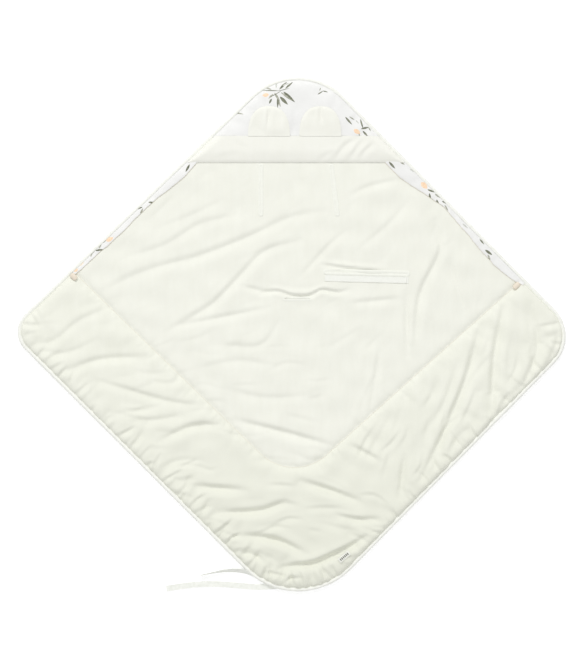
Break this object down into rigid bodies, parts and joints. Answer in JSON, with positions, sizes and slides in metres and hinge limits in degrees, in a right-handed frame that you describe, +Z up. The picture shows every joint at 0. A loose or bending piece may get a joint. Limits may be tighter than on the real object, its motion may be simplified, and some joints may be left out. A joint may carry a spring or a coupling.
{
  "type": "hooded baby wrap",
  "caption": "Padded square baby blanket lying open on one corner, with an eared hood, bound strap slots, piped edge and ribbon ties.",
  "frame": {"origin": "centre of the blanket's bounding box, without the ties, on the surface it lies on", "axes": "+Z up out of the lining, +Y towards the hooded corner, +X to the right seen from above with the hood at the top"},
  "size_m": [1.2202, 1.1453, 0.0245],
  "materials": {
    "back_cover": "woven cotton, white, printed with small grey-green leaves",
    "wadding": "loose polyester wadding",
    "lining": "ivory cotton velour, short dense pile",
    "border": "ivory cotton velour, slightly creamier",
    "printed_facing": "woven cotton, white, printed with leaves and berries",
    "piping_sleeve": "ivory woven cotton bias tape",
    "piping_cord": "twisted cotton cord",
    "slot_binding": "ivory satin bias binding",
    "slot_tape": "white woven tape, soft sheen",
    "hood_print": "woven cotton, white, printed with a leaf spray",
    "hood_lining": "ivory cotton velour",
    "brim": "ivory cotton velour, padded",
    "ear_cloth": "ivory cotton velour",
    "tie_ribbon": "ivory grosgrain ribbon, satin edge",
    "thread": "ivory polyester thread",
    "label": "blank woven satin label"
  },
  "bodies": {
    "centre": {"belt_slot_binding": "slot_binding", "belt_slot_tape": "slot_tape", "border_centre": "border", "cover_centre": "back_cover", "crotch_slot_binding": "slot_binding", "edge_facing_centre": "printed_facing", "lining_centre": "lining", "piping_cord_centre": "piping_cord", "piping_sleeve_centre": "piping_sleeve", "shoulder_slot_binding_left": "slot_binding", "shoulder_slot_binding_right": "slot_binding", "wadding_centre": "wadding"},
    "head": {"cover_head": "back_cover", "edge_facing_head": "printed_facing", "hood_brim": "brim", "hood_brim_wadding": "wadding", "hood_lining": "hood_lining", "hood_outer": "hood_print", "lining_head": "lining", "piping_cord_head": "piping_cord", "piping_sleeve_head": "piping_sleeve", "wadding_head": "wadding"},
    "left_wing": {"border_left": "border", "cover_left": "back_cover", "edge_facing_left": "printed_facing", "facing_end_left": "printed_facing", "lining_left": "lining", "piping_cord_left": "piping_cord", "piping_sleeve_left": "piping_sleeve", "wadding_left": "wadding"},
    "right_wing": {"border_right": "border", "cover_right": "back_cover", "edge_facing_right": "printed_facing", "facing_end_right": "printed_facing", "lining_right": "lining", "piping_cord_right": "piping_cord", "piping_sleeve_right": "piping_sleeve", "wadding_right": "wadding"},
    "foot": {"border_foot": "border", "cover_foot": "back_cover", "piping_cord_foot": "piping_cord", "piping_sleeve_foot": "piping_sleeve", "tie_bar_tack": "thread", "wadding_foot": "wadding", "woven_label": "label"},
    "ear_left": {"ear_back_left": "ear_cloth", "ear_filling_left": "wadding", "ear_front_left": "ear_cloth"},
    "ear_right": {"ear_back_right": "ear_cloth", "ear_filling_right": "wadding", "ear_front_right": "ear_cloth"},
    "tie_lower": {"tie_lower": "tie_ribbon"},
    "tie_upper": {"tie_upper": "tie_ribbon"}
  },
  "joints": [
    {"name": "left_wing_fold", "type": "hinge", "parent": "centre", "child": "left_wing", "pos_m": [-0.31, 0, 0.0115], "axis": [0, 1, 0], "range_deg": [0, 165]},
    {"name": "right_wing_fold", "type": "hinge", "parent": "centre", "child": "right_wing", "pos_m": [0.31, 0, 0.0115], "axis": [0, -1, 0], "range_deg": [0, 165]},
    {"name": "foot_fold", "type": "hinge", "parent": "centre", "child": "foot", "pos_m": [0, -0.385, 0.0115], "axis": [-1, 0, 0], "range_deg": [0, 150]},
    {"name": "head_fold", "type": "hinge", "parent": "centre", "child": "head", "pos_m": [0, 0.379, 0.0115], "axis": [1, 0, 0], "range_deg": [0, 90]},
    {"name": "ear_left_flop", "type": "hinge", "parent": "head", "child": "ear_left", "pos_m": [-0.05, 0.442, 0.022], "axis": [1, 0, 0], "range_deg": [0, 120]},
    {"name": "ear_right_flop", "type": "hinge", "parent": "head", "child": "ear_right", "pos_m": [0.064, 0.442, 0.022], "axis": [1, 0, 0], "range_deg": [0, 120]},
    {"name": "tie_lower_swing", "type": "hinge", "parent": "foot", "child": "tie_lower", "pos_m": [-0.024, -0.559, 0.0016], "axis": [0, 0, 1], "range_deg": [0, 100]},
    {"name": "tie_upper_swing", "type": "hinge", "parent": "foot", "child": "tie_upper", "pos_m": [-0.024, -0.559, 0.0025], "axis": [0, 0, 1], "range_deg": [0, 100]}
  ]
}
